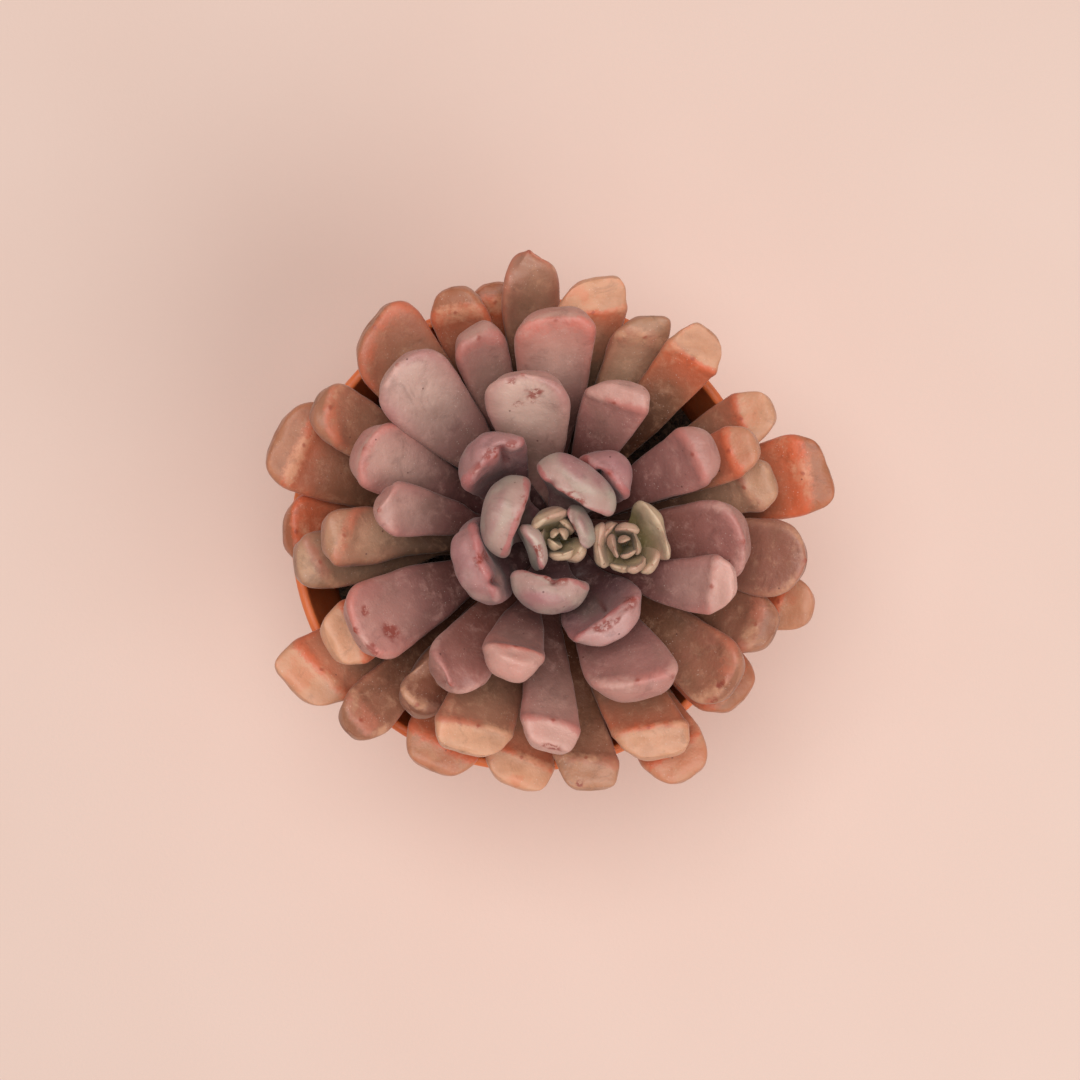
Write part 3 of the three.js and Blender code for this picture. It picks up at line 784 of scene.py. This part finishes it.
def lathe(name, outline, facets):
    """A closed solid of revolution from an outline that starts and ends on the axis."""
    mesh = bmesh.new()
    rings = []
    for radius, z in outline:
        if radius < 1e-6:
            rings.append([mesh.verts.new((0, 0, z))])
            continue
        turns = (2 * math.pi * k / facets for k in range(facets))
        rings.append([mesh.verts.new((radius * math.cos(a), radius * math.sin(a), z)) for a in turns])
    for low, high in zip(rings, rings[1:]):
        for k in range(facets):
            below = [low[k % len(low)], low[(k + 1) % len(low)]]
            above = [high[(k + 1) % len(high)], high[k % len(high)]]
            unique = list(dict.fromkeys(below + above))
            if len(unique) > 2:
                mesh.faces.new(unique)
    bmesh.ops.recalc_face_normals(mesh, faces=mesh.faces)
    return to_object(name, mesh)


def make_pot():
    """The tapered pot with its collar, rolled rim and drain holes."""
    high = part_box("pot")[1]
    rim, height = high.x, high.z
    places = np.array([v.co for v in nodes["pot"].data.vertices])
    foot = np.hypot(*places[places[:, 2] < POT_FOOT][:, :2].T).max()
    top_wall = rim - COLLAR_STEP
    collar = height - COLLAR_HEIGHT

    def wall(z):
        return foot + (top_wall - foot) * z / height

    outline = [
        (0, 0), (foot - 1 * MM, 0), (foot, 1 * MM), (wall(collar) - 0.2 * MM, collar),
        (wall(collar) + COLLAR_STEP, collar + 0.6 * MM), (rim, height - 1.2 * MM),
        (rim - 0.7 * MM, height), (rim - WALL - 0.4 * MM, height - 0.2 * MM),
        (rim - WALL - 0.9 * MM, height - 3 * MM), (wall(collar) - WALL, collar - 1 * MM),
        (wall(4.4 * MM) - WALL, 4.4 * MM), (wall(FLOOR_THICK) - WALL - 2 * MM, FLOOR_THICK),
        (0, FLOOR_THICK),
    ]
    pot = lathe("pot_body", rounded(outline, 0.6 * MM), POT_FACETS)
    drain = [(0, -1 * MM), (DRAIN_RADIUS, -1 * MM), (DRAIN_RADIUS, 4 * MM), (0, 4 * MM)]
    for k in range(DRAIN_HOLES):
        turn = 2 * math.pi * k / DRAIN_HOLES
        bore = lathe("drain", drain, DRAIN_FACETS)
        bore.location = (DRAIN_RING * math.cos(turn), DRAIN_RING * math.sin(turn), 0)
        cut = pot.modifiers.new("drain", "BOOLEAN")
        cut.object = bore
        cut.operation = "DIFFERENCE"
        cut.solver = "EXACT"
        apply_modifiers(pot)
        bpy.data.objects.remove(bore)
    shade_by_angle(pot, SHARP_ANGLE)
    pot.data.materials.append(pot_material())
    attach(pot, "root")
    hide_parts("pot")


def apply_modifiers(thing):
    """Bakes a piece's modifiers into its mesh."""
    graph = bpy.context.evaluated_depsgraph_get()
    baked = bpy.data.meshes.new_from_object(thing.evaluated_get(graph))
    thing.modifiers.clear()
    thing.data = baked


def shade_by_angle(thing, degrees):
    """Smooth shading, with edges sharper than the angle left crisp."""
    thing.data.shade_smooth()
    mesh = bmesh.new()
    mesh.from_mesh(thing.data)
    for edge in mesh.edges:
        edge.smooth = edge.calc_face_angle(0) < math.radians(degrees)
    mesh.to_mesh(thing.data)
    mesh.free()


# ---- soil and stem --------------------------------------------------------------------------------
SOIL_RINGS = 70
SOIL_SPOKES = 200
SOIL_LEVEL = 71             # millimetres, and the height of the mounds on it
MOUND_HEIGHT = 1.3
CRUMBS = 900
CRUMB_SIZES = (0.6, 2.2)    # millimetres
CRUMB_SEED = 11
FIBRES = 60
FIBRE_STEP = 1.1 * MM
FIBRE_SEED = 5
STEM_ROWS = 90
STEM_FACETS = 40
KNOB_HEIGHT = 0.35 * MM
KNOB_SIZE = 2.5 * MM


def soil_level(x, y):
    """The CAD soil's mounds, with crumbs and hollows on them."""
    x, y = x / MM, y / MM
    mounds = math.sin(x * 0.21 + 1) * math.cos(y * 0.17) + math.sin(x * 0.4 + y * 0.33) * 0.5
    level = SOIL_LEVEL + MOUND_HEIGHT * mounds + 2 * math.exp(-(x * x + y * y) / 300)
    level += 0.9 * noise.noise(Vector((x / 4, y / 4, 1.0)))
    level += 0.5 * noise.noise(Vector((x / 1.5, y / 1.5, 7.0)))
    return level * MM


def make_soil():
    """The compost that fills the pot, with a crumbly top, crumbs and dead fibres on it."""
    low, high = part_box("soil")
    edge = high.x - 0.3 * MM
    top = []
    for ring in range(SOIL_RINGS):
        radius = edge * (ring + 1) / SOIL_RINGS
        turns = (2 * math.pi * k / SOIL_SPOKES for k in range(SOIL_SPOKES))
        top.append([(radius * math.cos(a), radius * math.sin(a)) for a in turns])
    mesh = bmesh.new()
    centre = mesh.verts.new((0, 0, soil_level(0, 0)))
    rings = [[mesh.verts.new((x, y, soil_level(x, y))) for x, y in ring] for ring in top]
    # the sides, inside the tapering pot
    for share, z in ((0.99, high.z - 9 * MM), (0.76, low.z + 5 * MM), (0.7, low.z)):
        rings.append([mesh.verts.new((x * share, y * share, z)) for x, y in top[-1]])
    under = mesh.verts.new((0, 0, low.z))
    for inner, outer in zip(rings, rings[1:]):
        for k in range(SOIL_SPOKES):
            j = (k + 1) % SOIL_SPOKES
            mesh.faces.new((inner[k], outer[k], outer[j], inner[j]))
    for k in range(SOIL_SPOKES):
        j = (k + 1) % SOIL_SPOKES
        mesh.faces.new((centre, rings[0][k], rings[0][j]))
        mesh.faces.new((under, rings[-1][j], rings[-1][k]))
    bed = to_object("soil_bed", mesh)
    bed.data.shade_smooth()
    bed.data.materials.append(soil_material())
    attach(bed, "root")
    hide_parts("soil")
    make_crumbs(edge)
    make_fibres(edge)


def make_crumbs(edge):
    """Loose crumbs of compost, each a small ragged lump."""
    chance = random.Random(CRUMB_SEED)
    mesh = bmesh.new()
    for _ in range(CRUMBS):
        turn, radius = chance.uniform(0, 2 * math.pi), edge * 0.97 * math.sqrt(chance.random())
        x, y = radius * math.cos(turn), radius * math.sin(turn)
        size = chance.uniform(*CRUMB_SIZES) * MM
        made = bmesh.ops.create_icosphere(mesh, subdivisions=1, radius=size)
        for v in made["verts"]:
            ragged = 1 + 0.5 * noise.noise(v.co * 900 + Vector((x, y, 0)) * 4000)
            v.co = v.co * ragged
            v.co += Vector((x, y, soil_level(x, y) + 0.2 * size))
    crumbs = to_object("soil_crumbs", mesh)
    crumbs.data.materials.append(soil_material())
    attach(crumbs, "root")


def make_fibres(edge):
    """Thin dead root and bark fibres that lie on the compost."""
    chance = random.Random(FIBRE_SEED)
    mesh = bmesh.new()
    for _ in range(FIBRES):
        turn, radius = chance.uniform(0, 2 * math.pi), edge * 0.9 * math.sqrt(chance.random())
        x, y = radius * math.cos(turn), radius * math.sin(turn)
        heading, bend = chance.uniform(0, 2 * math.pi), chance.uniform(-0.25, 0.25)
        thick = chance.uniform(0.15, 0.35) * MM
        previous = None
        for _ in range(chance.randrange(6, 14)):
            if math.hypot(x, y) > edge * 0.96:
                break
            z = soil_level(x, y) + 0.5 * MM
            across = Vector((-math.sin(heading), math.cos(heading), 0))
            corners = [across * thick, Vector((0, 0, thick)), -across * thick, Vector((0, 0, -thick))]
            ring = [mesh.verts.new(Vector((x, y, z)) + c) for c in corners]
            if previous:
                for k in range(4):
                    j = (k + 1) % 4
                    mesh.faces.new((previous[k], previous[j], ring[j], ring[k]))
            else:
                mesh.faces.new(ring)
            previous = ring
            x += FIBRE_STEP * math.cos(heading)
            y += FIBRE_STEP * math.sin(heading)
            heading += bend
        if previous:
            mesh.faces.new(previous[::-1])
    bmesh.ops.recalc_face_normals(mesh, faces=mesh.faces)
    fibres = to_object("soil_fibres", mesh)
    fibres.data.materials.append(fibre_material())
    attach(fibres, "root")


def make_stem():
    """The stem's fine surface, knobbly with leaf scars, on the CAD stem's own middle line."""
    places = np.array([v.co for v in nodes["stem"].data.vertices])
    levels = sorted(set(np.round(places[:, 2], 5)))
    middles, radii = [], []
    for level in levels:
        ring = places[np.abs(places[:, 2] - level) < 1e-5]
        middles.append(ring.mean(0))
        radii.append(np.hypot(*(ring - ring.mean(0))[:, :2].T).mean())
    heights = np.linspace(levels[0], levels[-1], STEM_ROWS)
    mesh = bmesh.new()
    rings = []
    for z in heights[1:-1]:
        x, y = (np.interp(z, levels, [m[i] for m in middles]) for i in (0, 1))
        radius = np.interp(z, levels, radii)
        ring = []
        for k in range(STEM_FACETS):
            turn = 2 * math.pi * k / STEM_FACETS
            knob = noise.noise(Vector((math.cos(turn) * 2, math.sin(turn) * 2, z / KNOB_SIZE)))
            r = radius - KNOB_HEIGHT + KNOB_HEIGHT * knob
            ring.append(mesh.verts.new((x + r * math.cos(turn), y + r * math.sin(turn), z)))
        rings.append(ring)
    foot, top = mesh.verts.new(middles[0]), mesh.verts.new(middles[-1])
    for k in range(STEM_FACETS):
        j = (k + 1) % STEM_FACETS
        mesh.faces.new((foot, rings[0][j], rings[0][k]))
        mesh.faces.new((top, rings[-1][k], rings[-1][j]))
        for lower, upper in zip(rings, rings[1:]):
            mesh.faces.new((lower[k], lower[j], upper[j], upper[k]))
    stem = to_object("stem_bark", mesh)
    stem.data.shade_smooth()
    stem.data.materials.append(bark_material())
    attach(stem, "root")
    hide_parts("stem")


# ---- leaves ---------------------------------------------------------------------------------------

def make_leaves():
    """The 46 numbered leaves, the 7 heart leaves and the 2 inner leaves."""
    for number, values in LEAF_LOOKS.items():
        look = look_of(*values, scars=SCARRED.get(number, 0))
        slot = "outer_leaf" if number < MIDDLE_FROM else "middle_leaf"
        dress(f"leaf_{number:02d}", look, slot, number)
    for number, (end_up, blush, green, lumps, depth, folds) in HEART_LOOKS.items():
        look = look_of(blush, 0.6, green, 0.0, end_up, 0, HEART_SCARS[number], lumps, depth, folds)
        dress(f"heart_leaf_{number:02d}", look, "heart_leaf", HEART_SEED + number)
    for number in (1, 2):
        look = look_of(0.4, 0.3, 0.9, 0.0, 0.5, scars=1, lumps=1.5)
        dress(f"inner_leaf_{number:02d}", look, "heart_leaf", INNER_SEED + number)


def make_tufts():
    """The bud in the heart and the rosette at the side, each one piece of small leaves."""
    look = look_of(0.6, 0.1, 0.4, 0.0, 0.1, lumps=1.6)
    for name, node_name, rows, seed in (
        ("bud_leaves", "heart_bud", BUD_LEAVES, BUD_SEED),
        ("side_leaves", "side_rosette", SIDE_LEAVES, SIDE_SEED),
    ):
        piece = tuft(name, node_name, rows, look, seed)
        for key in TONES:
            layer = piece.data.attributes.new(key, "FLOAT", "POINT")
            layer.data.foreach_set("value", np.full(len(piece.data.vertices), look[key], np.float32))
        piece.data.materials.append(leaf_material("young_leaf"))


# ---- studio -----------------------------------------------------------------------------------------
CAMERA_SPOT = (2.6 * MM, -1.3 * MM)
CAMERA_HEIGHT = 0.5      # over the pot's rim
VIEW_TAN = 0.2382        # of half the camera's angle
SENSOR = 36.0            # millimetres
FLOOR_SIZE = 8
# name, place and size across (metres), and power (watts)
LIGHTS = (("key", (0.55, -0.5, 1.15), 0.9, 6.5), ("overhead", (-0.1, 0.2, 1.6), 0.9, 13))
WARM_WHITE = (1.0, 0.96, 0.93)
SKY = (1.0, 0.93, 0.89, 1.0)
SKY_STRENGTH = 0.3


def area_light(name, place, aim, size, power, colour):
    """A round soft light that shines towards aim."""
    light = bpy.data.lights.new(name, "AREA")
    light.shape = "DISK"
    light.size = size
    light.energy = power
    light.color = colour
    lamp = bpy.data.objects.new(name, light)
    lamp.location = place
    lamp.rotation_mode = "QUATERNION"
    lamp.rotation_quaternion = (Vector(aim) - Vector(place)).to_track_quat("-Z", "Y")
    bpy.context.scene.collection.objects.link(lamp)


def make_studio():
    """The pale floor, two soft lights, a dim sky and the camera that looks down on the plant."""
    bpy.ops.mesh.primitive_grid_add(x_subdivisions=4, y_subdivisions=4, size=FLOOR_SIZE)
    floor = bpy.context.object
    floor.name = "studio_floor"
    floor.data.materials.append(floor_material())
    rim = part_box("pot")[1].z
    for name, place, size, power in LIGHTS:
        area_light(name, place, (0, 0, rim), size, power, WARM_WHITE)
    world = bpy.data.worlds.new("studio_world")
    world.use_nodes = True
    world.node_tree.nodes["Background"].inputs["Color"].default_value = SKY
    world.node_tree.nodes["Background"].inputs["Strength"].default_value = SKY_STRENGTH
    bpy.context.scene.world = world
    bpy.context.scene.view_settings.view_transform = "Standard"
    data = bpy.data.cameras.new("camera")
    data.sensor_width = SENSOR
    data.lens = SENSOR / 2 / VIEW_TAN
    camera = bpy.data.objects.new("camera", data)
    camera.location = (*CAMERA_SPOT, rim + CAMERA_HEIGHT)
    bpy.context.scene.collection.objects.link(camera)
    bpy.context.scene.camera = camera


make_studio()
make_pot()
make_soil()
make_stem()
make_leaves()
make_tufts()
